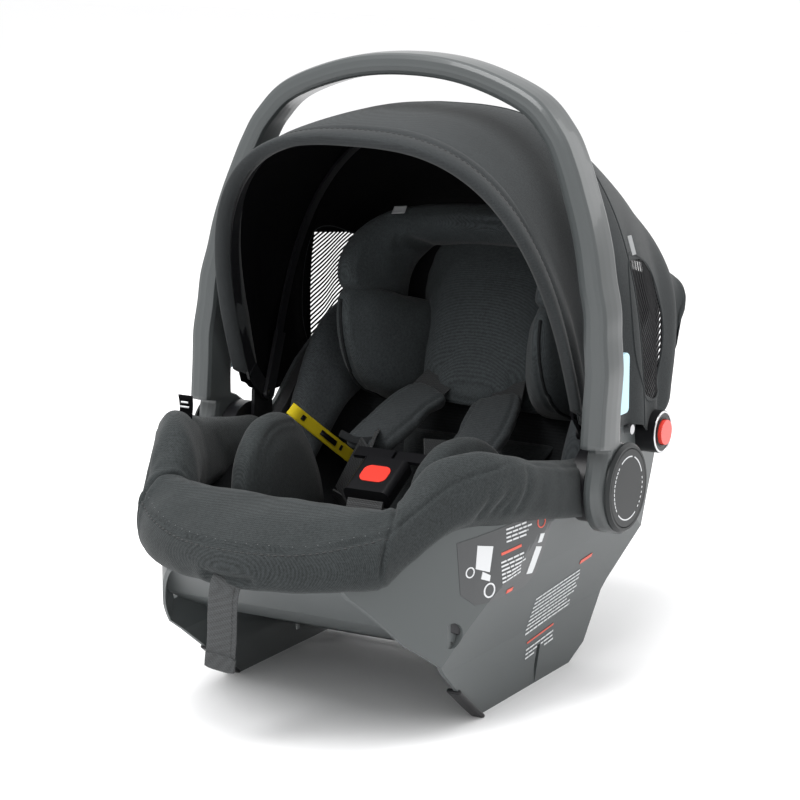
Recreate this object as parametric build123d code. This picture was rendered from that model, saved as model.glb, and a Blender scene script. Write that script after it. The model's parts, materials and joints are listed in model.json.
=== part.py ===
"""Infant car seat: moulded shell, padded cover, headrest, harness, carry handle and folding canopy.

Millimetres. +X is to the occupant's left, +Y runs from the feet to the head, +Z is up.
The origin is on the floor, under the middle of the whole object.
"""
from build123d import *
import os
from math import cos, hypot, radians, sin, tan

os.makedirs("parts", exist_ok=True)

# ---- driving dimensions -------------------------------------------------------------------------------
WALL = 4.0                         # moulded shell wall
LINER = 12.0                       # energy-absorbing foam under the cover
COVER = 10.0                       # padded cover
GAP = 0.4                          # air between a soft piece and its neighbour
RUN = 0.05                         # radial running clearance of a pin in its bore
HUB_Y, HUB_Z = 0.0, 194.0          # axis that the carry handle turns about
HUB_R = 42.0
HUB_FACE_X = 218.0                 # outer face of each handle hub
ARM_IN_X, ARM_OUT_X = 191.0, 214.0
PIN_R = 8.0
HANDLE_DEPTH = 42.0
HANDLE_THICK = 20.0
HANDLE_LEAN = 0.10                 # the upright handle leans back this much per unit of height
HANDLE_BOW = [(203, 284), (203, 301), (200, 326), (198, 351), (192, 376), (187, 401), (180, 426),
              (171, 451), (161, 476), (147, 501), (119, 527), (60, 548), (0, 554)]   # centre line (x, z)
CANOPY_Y, CANOPY_Z = 15.0, 235.0   # axis that both canopy ribs turn about
CANOPY_POWER = 2.8                 # exponent of the canopy's arched sections
RECLINE = 20.0                     # backrest from the vertical, degrees
BACK_Y, BACK_Z = 150.0, 215.0      # a point on the front face of the liner's back
POD_Y, POD_Z, POD_R = 150.0, 210.0, 20.0
WEB = 2.0                          # harness webbing thickness
WEB_W = 34.0
FAR = 400.0                        # longer than the object in any direction

LEAN_C, LEAN_S, LEAN_T = cos(radians(RECLINE)), sin(radians(RECLINE)), tan(radians(RECLINE))
BACK = Plane(origin=(0, BACK_Y, BACK_Z), x_dir=(1, 0, 0), z_dir=(0, LEAN_S, LEAN_C))

# Outlines of the tub, front to back.
SIDES = [(125, -10), (126, 0), (135, 60), (161, 130), (180, 196), (205, 300), (230, 420)]
PLAN = [(0, -284), (92, -262), (127, -216), (157, -140), (176, -20), (173, 80), (152, 180), (118, 248),
        (62, 290), (0, 298)]
RIM = [(-282, 178), (-240, 190), (-200, 206), (-162, 214), (-100, 204), (-45, 194), (10, 200), (45, 224),
       (76, 256), (112, 284), (160, 306), (226, 336), (284, 340)]
SHELL_UNDER = [(-262, 140), (-226, 96), (-158, 42), (-104, 0), (72, 0), (98, 14), (124, 70), (166, 120),
               (214, 190), (256, 262), (284, 340)]
TUNNEL = [(-300, -20), (-300, 160), (-262, 148), (-200, 100), (-132, 67), (-76, 48), (-22, 26), (60, 26),
          (96, 60), (130, 100), (200, 100), (200, -20)]
TUB_FLOOR = [(-278, 160), (-256, 152), (-200, 108), (-132, 75), (-76, 56), (-22, 34), (60, 34), (100, 70),
             (132, 106)]


# ---- helpers ------------------------------------------------------------------------------------------
def save(shape, name):
    export_step(shape, f"parts/{name}.step")


def save_pair(right, name):
    """Writes the piece on +X, which is the left-hand one, and its mirror image."""
    save(right, f"{name}_left")
    save(mirror(right, about=Plane.YZ), f"{name}_right")


def side_prism(points, x0=-FAR, x1=FAR):
    """A (y, z) outline carried along X."""
    corners = [p for i, p in enumerate(points) if p != points[i - 1]]
    face = make_face(Polyline(*[(x0, y, z) for y, z in corners], close=True))
    return extrude(face, amount=x1 - x0, dir=(1, 0, 0))


def front_prism(points, y0=-FAR, y1=FAR):
    """An (x, z) half outline, mirrored about X = 0 and carried along Y."""
    outline = list(points) + [(-x, z) for x, z in reversed(points)]
    face = make_face(Polyline(*[(x, y0, z) for x, z in outline], close=True))
    return extrude(face, amount=y1 - y0, dir=(0, 1, 0))


def plan_prism(grow, z0=-20.0, z1=620.0):
    """The tub's plan outline as one smooth curve, moved out by grow and carried up Z."""
    moved = []
    for x, y in PLAN:
        share = (y - 7.0) / 291.0
        moved.append((x + grow * (1 - abs(share)) if x else 0.0, y + grow * share))
    right = Spline(*[(x, y, z0) for x, y in moved], tangents=[(1, 0, 0), (-1, 0, 0)])
    left = mirror(right, about=Plane.YZ)
    return extrude(make_face([right.edge(), left.edge()]), amount=z1 - z0, dir=(0, 0, 1))


def in_tub(outline, grow):
    """A (y, z) outline carried across the tub, between its tapered sides and inside its rounded plan."""
    block = plan_prism(grow) & side_prism(outline)
    return block & front_prism([(x + grow, z) for x, z in SIDES])


def box(x0, x1, y0, y1, z0, z1):
    return Pos((x0 + x1) / 2, (y0 + y1) / 2, (z0 + z1) / 2) * Box(x1 - x0, y1 - y0, z1 - z0)


def rod_x(radius, x0, x1, y, z):
    """A cylinder along X."""
    return Pos((x0 + x1) / 2, y, z) * Rot(0, 90, 0) * Cylinder(radius, abs(x1 - x0))


def back_block(x0, x1, d0, d1, h0, h1, r=0.0):
    """A block in the backrest's frame: across, depth into the back, height up the back."""
    block = Pos((x0 + x1) / 2, (d0 + d1) / 2, (h0 + h1) / 2) * Box(x1 - x0, d1 - d0, h1 - h0)
    if r:
        block = fillet(block.edges().filter_by(Axis.Y), r)
    return BACK * block


def back_yz(d, h):
    """(y, z) of a point given by depth into the back and height up it."""
    return BACK_Y + d * LEAN_C + h * LEAN_S, BACK_Z - d * LEAN_S + h * LEAN_C


def back_line(z, d):
    """Y at height z of the plane that lies d behind the liner's front face."""
    return BACK_Y + d / LEAN_C + (z - BACK_Z) * LEAN_T


def ribbon(path, width, thick, x=0.0):
    """Webbing that follows (y, z) points, its face upwards or forwards, centred on x."""
    upper, lower = [], []
    for i, (y, z) in enumerate(path):
        y0, z0 = path[max(i - 1, 0)]
        y1, z1 = path[min(i + 1, len(path) - 1)]
        run = hypot(y1 - y0, z1 - z0)
        ny, nz = -(z1 - z0) / run * thick / 2, (y1 - y0) / run * thick / 2
        upper.append((y + ny, z + nz))
        lower.append((y - ny, z - nz))
    return side_prism(upper + lower[::-1], x - width / 2, x + width / 2)


def strap(points, width, thick):
    """Webbing that follows 3-D points, flat along the plane nearest the backrest."""
    pieces = []
    for (ax, ay, az), (bx, by, bz) in zip(points, points[1:]):
        run = Vector(bx - ax, by - ay, bz - az)
        side = run.cross(Vector(0, -LEAN_C, LEAN_S)).normalized()
        face = Plane(origin=((ax + bx) / 2, (ay + by) / 2, (az + bz) / 2), x_dir=side, z_dir=run.normalized())
        pieces.append(face * Box(width, thick, run.length + thick))
    return Part() + pieces


# ---- shell, liner and fixed fittings ------------------------------------------------------------------
def seat_outline(inset, depth):
    """The (y, z) outline of the seat's hollow, with the floor raised by inset and the back at depth."""
    floor = [(y + 0.3 * inset, z + inset) for y, z in TUB_FLOOR[1:]]
    floor = [(y, z) for y, z in floor if y < back_line(z, depth) - 16]
    foot_z = floor[-1][1] + 24
    foot = [(back_line(foot_z, depth), foot_z), (back_line(460, depth), 460)]
    return [(-290, 460), (-290, floor[0][1])] + floor + foot


def make_shell():
    outer = in_tub(SHELL_UNDER + RIM[::-1], 0)
    rear = [(y - WALL * 1.3, z + 2) for y, z in SHELL_UNDER if z > 90 and y > 0]
    hollow = in_tub([(-290, 460), (-290, 160)] + TUB_FLOOR[1:] + rear + [(280, 460)], -WALL)
    shell = outer - hollow - in_tub(TUNNEL, -WALL)
    for side in (1, -1):
        shell -= box(side * 129 - 3, side * 129 + 5, -3, 3, -1, 38)
        shell -= Pos(side * 148, -182, 96) * Rot(0, 90, 0) * Cylinder(11, 14)
        shell -= rod_x(POD_R + 0.6, side * 145, side * 185, POD_Y, POD_Z)
    return shell


def make_liner():
    rear = [(y - WALL * 1.3 - GAP, z + 2) for y, z in SHELL_UNDER if z > 90 and y > 0]
    floor = [(y, z + GAP) for y, z in TUB_FLOOR[1:]]
    outer = in_tub([(-290, 460), (-290, 160)] + floor + rear + [(278, 460)], -WALL - GAP)
    inner = in_tub(seat_outline(LINER, 0), -WALL - LINER)
    below = side_prism([(y, z - 4) for y, z in RIM] + [(284, -20), (-282, -20)])
    liner_block = (outer & below) - inner
    for side in (1, -1):
        liner_block -= rod_x(POD_R + 1, side * 150, side * 185, POD_Y, POD_Z)
    return liner_block


shell = make_shell()
liner = make_liner()
tub_solid = in_tub(SHELL_UNDER + RIM[::-1], 0)
save(shell, "shell")
save(liner, "impact_liner")

hub_base = rod_x(34, 160, 190.4, HUB_Y, HUB_Z) - tub_solid - box(0, 176.5, -50, 50, 100, 300)
hub_base += rod_x(PIN_R, 189, 216, HUB_Y, HUB_Z)
save_pair(hub_base, "hub_base")

foot = side_prism([(-104, -2), (-104, 4), (-156, 44), (-163, 37), (-110, -2)], 120, 134)
foot &= box(100, 150, -170, -100, 0, 60)
save_pair(foot - shell, "foot_glide")

LATCH_Y, LATCH_Z = 58.0, 14.0      # axis of the rod that carries the base hooks
save(rod_x(4, -119, 119, LATCH_Y, LATCH_Z), "latch_rod")
hook = side_prism([(50, 6), (66, 6), (66, 16), (62, 21), (54, 21), (34, 12), (34, 7), (44, 9)], 84, 92)
save_pair(hook - rod_x(4, 80, 96, LATCH_Y, LATCH_Z), "latch_hook")

LEVER = [(217.9, 194.9), (243.0, 237.9), (248.2, 234.9), (223.1, 191.9)]
save(side_prism(LEVER, -44, 44), "release_lever")
frame = side_prism([(212, 188.5), (240.2, 236.8), (246.4, 243.6), (252.4, 240.1), (224.2, 184.6)], -54, 54)
save(frame - box(-45, 45, 190, 300, 100, 300) - tub_solid, "lever_guide")

screws = [rod_x(4.5, side * 150, side * 178.5, y, z) - tub_solid for side in (1, -1) for y, z in ((90, 224), (64, 176))]
save(Part() + screws, "shell_screws")

# ---- padded cover -------------------------------------------------------------------------------------
ARM_TOP = [(-262, 205), (-245, 215), (-214, 230), (-191, 243), (-162, 249), (-129, 244), (-97, 235), (-41, 222),
           (-19, 236), (20, 230), (47, 244), (78, 278), (108, 298), (150, 316), (196, 334)]
ARM_LOW = [(-262, 160), (-223, 182), (-198, 188), (-151, 198), (-106, 190), (-51, 176), (-14, 172)]


def make_back_cushion():
    outer = in_tub(seat_outline(LINER + GAP, -GAP), -WALL - LINER - GAP)
    inner = in_tub(seat_outline(LINER + COVER, -COVER), -WALL - LINER - COVER - GAP)
    top = side_prism([(y, z + 2) for y, z in RIM[:-2]] + [(196, 322), (240, 322), (240, -20), (-282, -20)])
    return ((outer - inner) & top) - liner - shell


def make_side_bolster():
    """A soft roll that hangs over the shell's edge on one side, from the lip to the handle's hub."""
    roll = plan_prism(6.0, 140, 260) - plan_prism(-32.0, 130, 270)
    band = side_prism([(y, z) for y, z in ARM_TOP if y < 0] + [(-14, 172)] + ARM_LOW[::-1], 100, FAR)
    roll = (roll & band) - in_tub([(y, z + 0.4) for y, z in RIM] + [(284, -20), (-282, -20)], 0.5)
    roll -= rod_x(36, 170, 200, HUB_Y, HUB_Z)
    return roll - box(100, 200, -24, 60, 205, 260) - box(0, 128, -330, -212, 100, 260)


def make_upper_wing():
    """The padded side wing behind the hub, inside the canopy."""
    roll = plan_prism(-6.0, 180, 350) - plan_prism(-30.0, 170, 360)
    band = side_prism([(y, z) for y, z in ARM_TOP if y > 40] + [(196, 300), (78, 240), (47, 225)], 60, FAR)
    roll = (roll & band) - side_prism([(y, z + 0.4) for y, z in RIM] + [(284, -20), (-282, -20)])
    return roll & side_prism([(40, 0), (40, 400), (back_line(400, -6), 400), (back_line(0, -6), 0)])


def make_lip():
    """The padded lip over the shell's front edge."""
    outer = plan_prism(27.0, 146, 212) - plan_prism(-24.0, 140, 220)
    outer &= side_prism([(-320, 156), (-300, 146), (-228, 146), (-228, 213), (-262, 209), (-300, 200), (-320, 186)])
    lip = outer & box(-126, 126, -330, -214, 140, 214)
    below_rim = side_prism([(y, z + 0.5) for y, z in RIM] + [(284, -20), (-282, -20)])
    return lip - (plan_prism(0.5) & below_rim) - box(-15, 15, -330, -270, 150, 160)


back_cushion = make_back_cushion()
bolster = make_side_bolster() - back_cushion
wing = make_upper_wing() - back_cushion
lip = make_lip() - back_cushion
save(back_cushion, "back_cushion")
save_pair(bolster, "side_bolster")
save_pair(wing, "upper_wing")
save(lip, "lip_cushion")

SEAT_TOP = [(-196, 138), (-140, 134), (-80, 128), (-20, 112), (40, 100), (74, 112)]
INSERT_BACK = [(back_line(150, -24), 150), (back_line(200, -22), 200), (back_line(200, -11), 200),
               (back_line(120, -11), 120), (88, 94)]
insert = side_prism(SEAT_TOP + INSERT_BACK + [(56, 60), (-22, 60), (-76, 82), (-132, 101), (-190, 128)], -84, 84)
insert -= back_cushion
insert -= box(-19, 19, -97, -74, 40, 300)
save(insert, "insert_cushion")
leg_wing = fillet(side_prism([(-152, 150), (-150, 196), (-92, 240), (-40, 214), (-12, 184), (20, 124),
                              (-20, 126), (-80, 134)], 88, 112).edges().filter_by(Axis.X), 8)
save_pair(leg_wing, "leg_wing")

# ---- headrest -----------------------------------------------------------------------------------------
BOARD = (-COVER - 4.6, -COVER - 1.2)
board = back_block(-112, 112, *BOARD, -2, 156, 20)
for side in (1, -1):
    board -= back_block(side * 34 - 19, side * 34 + 19, -30, 0, 21, 35)
save(board, "headrest_board")
pad = back_block(-82, 82, -COVER - 22, BOARD[0] - 0.3, -6, 162, 24)
for side in (1, -1):
    pad -= back_block(side * 35 - 23, side * 35 + 23, -60, 0, 14, 47)
save(pad, "headrest_pad")
WING = [(-15, -7), (-58, 0), (-88, 14), (-100, 32), (-128, 74), (-132, 102), (-124, 124), (-108, 142),
        (-84, 158), (-15, 160)]
wing_side = side_prism([back_yz(d, h) for d, h in WING], 84, 114)
wing_side = fillet(wing_side.edges().filter_by(Axis.X), 7)
save_pair(wing_side, "headrest_wing")
lever = back_block(-26, 26, BOARD[0] + 0.2, BOARD[1] - 0.2, 158, 176, 5)
save(lever, "headrest_lever")

# ---- harness ------------------------------------------------------------------------------------------
housing = Plane(origin=(0, -62, 186), x_dir=(1, 0, 0), z_dir=(0, 0.87, 0.493))
shellbox = fillet((Box(46, 19, 44)).edges().filter_by(Axis.Z), 6)
well = Pos(0, -8, 0) * fillet(Box(28, 12, 21).edges().filter_by(Axis.Y), 7.4)
throat = Pos(0, 1, 18) * Box(34, 8, 12)
save(housing * (shellbox - well - throat), "buckle_housing")
button = fillet(Box(27.2, 5.4, 20.2).edges().filter_by(Axis.Y), 7)
save(housing * (Pos(0, -7.2, 0) * button), "buckle_button")
blade = Pos(8.6, 1, 21.5) * Box(15, 3, 17)
plate = Pos(21, 1, 35) * Box(39, 3.6, 12)
save_pair(housing * (blade + plate), "buckle_tongue")
plate_room = housing * Pos(21, 1, 35) * Box(39.6, 4.2, 12.6)
save(ribbon([(-82.6, 173.8), (-88, 160), (-88, 140), (-86, 122), (-80, 104)], 36, WEB + 1), "crotch_strap")

SHOULDER = [(34, *back_yz(-14, 27)), (36, *back_yz(-36, 20)), (46, 92, 226), (56, 30, 202)]
save_pair(strap(SHOULDER, WEB_W, WEB), "shoulder_strap")
pad_run = strap([(38, 112, 232), (48, 84, 226), (60, 22, 200)], 50, 12)
save_pair(pad_run - strap(SHOULDER, WEB_W + 2, WEB + 0.8), "shoulder_pad")
LOWER = [(57, 26, 200), (40, -6, 204), (28, -25, 208)]
save_pair(strap(LOWER, 26, WEB) - pad_run - plate_room, "lower_strap")
lap = strap([(33, -24, 205), (74, 0, 150), (82, 20, 116)], 24, WEB)
save_pair(lap - strap(LOWER, 30, WEB + 0.8) - leg_wing - plate_room, "lap_strap")

adjuster = box(-30, 30, -262, -232, 184, 194)
adjuster -= box(-14, 14, -256, -240, 183, 200)
save(adjuster - shell - liner - back_cushion - lip, "adjuster_housing")
save(box(-13.4, 13.4, -255.4, -240.6, 186, 193), "adjuster_button")
tail = [(-284.5, 155), (-308, 156.5), (-312.5, 152), (-312.5, 120), (-310.5, 95), (-311.5, 72)]
save(ribbon(tail, 28, WEB), "adjuster_strap")

# ---- carry handle -------------------------------------------------------------------------------------
def handle_point(x, z, out=0.0, deep=0.0):
    """A point of the handle's plane, moved out of that plane by deep."""
    return (x, HUB_Y - 30 + HANDLE_LEAN * (z - 200) + deep, z)


def bow_edge(distance):
    """The handle's centre line moved in its own plane."""
    points = []
    for i, (x, z) in enumerate(HANDLE_BOW):
        x0, z0 = HANDLE_BOW[max(i - 1, 0)]
        x1, z1 = HANDLE_BOW[i + 1] if i + 1 < len(HANDLE_BOW) else (-x0, z0)
        run = hypot(x1 - x0, z1 - z0)
        points.append((x + (z1 - z0) / run * distance, z - (x1 - x0) / run * distance))
    return points + [(-x, z) for x, z in reversed(points[:-1])]


def make_handle():
    outer = [handle_point(x, z, deep=-HANDLE_DEPTH / 2) for x, z in bow_edge(HANDLE_THICK / 2)]
    inner = [handle_point(x, z, deep=-HANDLE_DEPTH / 2) for x, z in bow_edge(-HANDLE_THICK / 2)]
    edges = [Spline(*outer).edge(), Line(outer[-1], inner[-1]).edge(),
             Spline(*reversed(inner)).edge(), Line(inner[0], outer[0]).edge()]
    bow = extrude(make_face(edges), amount=HANDLE_DEPTH, dir=(0, 1, 0))
    arm_outline = [(-41, 300), (-47, 250), (-49, 206), (-43, 176), (-27, 158), (0, 152), (26, 160), (40, 180),
                   (41, 202), (32, 224), (13, 246), (3, 270), (0, 300)]
    curve = Spline(*[(ARM_IN_X, y, z) for y, z in arm_outline])
    face = make_face([curve.edge(), Line((ARM_IN_X, 0, 300), (ARM_IN_X, -41, 300)).edge()])
    arm = extrude(face, amount=ARM_OUT_X - ARM_IN_X, dir=(1, 0, 0))
    handle = bow + arm + mirror(arm, about=Plane.YZ)
    handle -= rod_x(PIN_R + RUN, -ARM_OUT_X - 5, ARM_OUT_X + 5, HUB_Y, HUB_Z)
    for side in (1, -1):
        handle -= box(side * 203 - 7.6, side * 203 + 7.6, -12.5, 30, 256.6, 313.4)
    return handle


handle = make_handle()
save(handle, "handle_bow")
cover = rod_x(40, ARM_OUT_X + 0.1, HUB_FACE_X, HUB_Y, HUB_Z)
cover = chamfer(cover.edges().sort_by(Axis.X)[-1], 2.5)
cover -= rod_x(PIN_R + 1, ARM_OUT_X - 1, HUB_FACE_X - 1.5, HUB_Y, HUB_Z)
save_pair(cover & box(0, 300, -44, 44, 150, 240), "hub_cover")
button = box(195.8, 210.2, -8, 16, 258, 312)
button = fillet(button.edges().filter_by(Axis.X), 5)
save_pair(fillet(button.edges().filter_by(Axis.Z), 2), "handle_button")

# ---- canopy -------------------------------------------------------------------------------------------
CANOPY = [((-14, 250), (-108, 499), 176), ((12, 238), (-78, 512), 178), ((60, 232), (0, 517), 179),
          ((110, 236), (80, 511), 178), ((150, 244), (150, 484), 172), ((190, 264), (215, 440), 163),
          ((222, 290), (266, 390), 156), ((250, 325), (306, 340), 146)]


def arch(base, top, half_width, inset=0.0, count=9):
    """Points over one arched section, from the right-hand base to the left-hand base."""
    (y0, z0), (y1, z1) = base, top
    height = hypot(y1 - y0, z1 - z0)
    reach = (height - inset) / height
    points = []
    for i in range(2 * count + 1):
        angle = radians(90.0 * (i - count) / count)
        up = cos(angle) ** (2 / CANOPY_POWER) if abs(angle) < 1.5707 else 0.0
        across = abs(sin(angle)) ** (2 / CANOPY_POWER) * (1 if angle > 0 else -1)
        points.append(((half_width - inset) * across, y0 + (y1 - y0) * up * reach, z0 + (z1 - z0) * up * reach))
    return points


def tent(inset, beyond=0.0):
    """A solid under the canopy's arched sections, run on past both ends and the hem when beyond is set."""
    sections = list(CANOPY)
    if beyond:
        (y0, z0), (y1, z1), half_width = CANOPY[0]
        sections.insert(0, ((y0 - beyond, z0), (y1 - beyond, z1 - 2), half_width))
        (y0, z0), (y1, z1), half_width = CANOPY[-1]
        sections.append(((y0 + 2, z0 - beyond), (y1 + 3, z1 - beyond), half_width))
    wires = []
    for (y0, z0), (y1, z1), half_width in sections:
        points = arch((y0, z0 - beyond), (y1, z1), half_width, inset)
        wires.append(Wire([Spline(*points).edge(), Line(points[-1], points[0]).edge()]))
    return Solid.make_loft(wires)


def make_bow(base, top, half_width, width, thick, inset):
    """A flat rib in the plane of one arched section, with legs down to the pivots."""
    outlines = []
    for reach in (inset, inset + thick):
        outlines.append(arch(base, top, half_width, reach))
    edges = [Spline(*outlines[0]).edge(), Line(outlines[0][-1], outlines[1][-1]).edge(),
             Spline(*reversed(outlines[1])).edge(), Line(outlines[1][0], outlines[0][0]).edge()]
    length = hypot(top[0] - base[0], top[1] - base[1])
    normal = ((top[1] - base[1]) / length, -(top[0] - base[0]) / length)
    return extrude(make_face(edges), amount=width, dir=(0, normal[0], normal[1]))


outside, inside = tent(0.0), tent(3.0, 9.0)
skin = Part() + (outside - inside)
MID_BASE, MID_TOP, MID_WIDTH = (30, 280), (104, 500), 172
SPLIT = [(CANOPY_Y, CANOPY_Z - 60), (CANOPY_Y, CANOPY_Z), (120, 560)]
front_panel = skin & side_prism(SPLIT + [(-300, 560), (-300, 100)])
rear_panel = skin & side_prism([(y + 0.6, z) for y, z in SPLIT] + [(400, 560), (400, 100)])
save(front_panel, "canopy_front_panel")
save(rear_panel, "canopy_rear_panel")


def leg(x0, x1, width, *ends):
    """A flat side bar of a rib, from the pivot to the rib."""
    (y0, z0), (y1, z1) = ends
    run = hypot(y1 - y0, z1 - z0)
    ny, nz = -(z1 - z0) / run * width / 2, (y1 - y0) / run * width / 2
    bar = side_prism([(y0 + ny, z0 + nz), (y1 + ny, z1 + nz), (y1 - ny, z1 - nz), (y0 - ny, z0 - nz)], x0, x1)
    return bar + rod_x(width / 2, x0, x1, CANOPY_Y, CANOPY_Z)


front_bow = make_bow((-12, 252), (-100, 499), 174, 14, 2.6, 4.0)
mid_bow = make_bow(MID_BASE, MID_TOP, MID_WIDTH, 10, 2.6, 4.0)
for side in (1, -1):
    low, high = sorted((side * 166.2, side * 170.0))
    front_bow += leg(low, high, 14, (CANOPY_Y, CANOPY_Z), (-8, 262))
    low, high = sorted((side * 162.0, side * 165.8))
    mid_bow += leg(low, high, 14, (CANOPY_Y, CANOPY_Z), (36, 290))
bore = rod_x(4 + RUN, -200, 200, CANOPY_Y, CANOPY_Z)
save(front_bow - bore, "canopy_front_bow")
save(mid_bow - bore, "canopy_mid_bow")
hinge = side_prism([(-2, 196), (32, 196), (30, 240), (22, 247), (8, 247), (0, 240)], 170.3, 173.6) - tub_solid
hinge += rod_x(4, 161.0, 173, CANOPY_Y, CANOPY_Z)
save_pair(hinge, "canopy_hinge")

# ---- side-impact pods and base latch ------------------------------------------------------------------
pod = rod_x(POD_R, 156, 181, POD_Y, POD_Z) - rod_x(12, 174, 200, POD_Y, POD_Z)
save_pair(pod, "pod_housing")
save_pair(rod_x(11.6, 174.2, 185, POD_Y, POD_Z), "pod_cap")
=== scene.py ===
import json
import math

import bmesh
import bpy
import numpy as np
from mathutils import Matrix, Vector, noise
from mathutils.bvhtree import BVHTree
from mathutils.kdtree import KDTree


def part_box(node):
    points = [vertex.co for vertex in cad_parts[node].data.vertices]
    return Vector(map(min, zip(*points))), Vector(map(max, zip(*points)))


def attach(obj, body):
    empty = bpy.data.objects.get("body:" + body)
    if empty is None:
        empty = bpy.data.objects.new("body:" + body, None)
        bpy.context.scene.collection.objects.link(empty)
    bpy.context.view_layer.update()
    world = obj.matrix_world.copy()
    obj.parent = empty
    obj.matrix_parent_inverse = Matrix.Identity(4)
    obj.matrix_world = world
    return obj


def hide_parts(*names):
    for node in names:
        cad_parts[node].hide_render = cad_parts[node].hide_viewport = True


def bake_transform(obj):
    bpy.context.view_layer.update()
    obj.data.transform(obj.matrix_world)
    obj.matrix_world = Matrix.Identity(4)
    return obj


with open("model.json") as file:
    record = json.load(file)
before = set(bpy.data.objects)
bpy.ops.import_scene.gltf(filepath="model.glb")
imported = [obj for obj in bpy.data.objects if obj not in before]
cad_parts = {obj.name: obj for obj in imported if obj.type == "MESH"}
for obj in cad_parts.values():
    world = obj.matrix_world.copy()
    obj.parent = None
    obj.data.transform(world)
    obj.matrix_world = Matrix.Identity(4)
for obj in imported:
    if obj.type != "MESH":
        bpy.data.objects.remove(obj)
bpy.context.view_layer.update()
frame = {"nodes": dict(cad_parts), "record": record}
MM = 0.001
MIRROR = np.array([-1, 1, 1])
SIDES = (("left", 1), ("right", -1))


def mm(points, sign=1):
    """Points given in mm, as metres; sign -1 mirrors them to the other side."""
    return np.array(points) * MM * np.array([sign, 1, 1])


# ---------------------------------------------------------------- camera, light, stage
TARGET = Vector((-0.007, -0.010, 0.25))
AZ, EL, DIST = math.radians(30), math.radians(12.5), 2.61
forward = Vector((-math.sin(AZ) * math.cos(EL), math.cos(AZ) * math.cos(EL), -math.sin(EL)))
cam_data = bpy.data.cameras.new("camera")
cam_data.lens = 129.6
cam_data.sensor_width = 36
cam = bpy.data.objects.new("camera", cam_data)
cam.location = TARGET - forward * DIST
cam.rotation_euler = forward.to_track_quat("-Z", "Y").to_euler()
bpy.context.collection.objects.link(cam)
bpy.context.scene.camera = cam


AIM = (0, 0, 0.28)                # every light points at the middle of the seat


def light(name, at, size, power):
    data = bpy.data.lights.new(name, "AREA")
    data.shape, data.size, data.size_y = "RECTANGLE", size[0], size[1]
    data.energy = power
    o = bpy.data.objects.new(name, data)
    o.location = at
    o.rotation_euler = (Vector(AIM) - Vector(at)).to_track_quat("-Z", "Y").to_euler()
    bpy.context.collection.objects.link(o)


bpy.context.scene.view_settings.view_transform = "Standard"
light("key", (-0.45, -1.8, 2.1), (1.0, 1.0), 36)
light("top", (0.0, -0.5, 2.4), (1.5, 1.5), 54)
light("fill", (2.3, -1.2, 1.0), (1.0, 1.6), 4)
light("back", (1.3, 1.9, 1.5), (1.2, 1.6), 12)
light("low_front", (0.2, -2.4, 0.35), (1.8, 0.5), 2)
world = bpy.data.worlds.new("world")
bpy.context.scene.world = world
world.use_nodes = True
world.node_tree.nodes["Background"].inputs[0].default_value = (1, 1, 1, 1)
world.node_tree.nodes["Background"].inputs[1].default_value = 1.04


# ---------------------------------------------------------------- materials
def new_material(name, colour, rough, metallic=0.0, sheen=0.0, spec=0.5, coat=0.0):
    m = bpy.data.materials.new(name)
    m.use_nodes = True
    b = m.node_tree.nodes["Principled BSDF"]
    b.inputs["Base Color"].default_value = (*colour, 1)
    b.inputs["Roughness"].default_value = rough
    b.inputs["Metallic"].default_value = metallic
    b.inputs["Sheen Weight"].default_value = sheen
    b.inputs["Sheen Roughness"].default_value = 0.45
    b.inputs["Specular IOR Level"].default_value = spec
    b.inputs["Coat Weight"].default_value = coat
    return m, m.node_tree.nodes, m.node_tree.links, b


def add(nodes, kind, **values):
    n = nodes.new(kind)
    for key, value in values.items():
        if key in n.inputs:
            n.inputs[key].default_value = value
        else:
            setattr(n, key, value)
    return n


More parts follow.
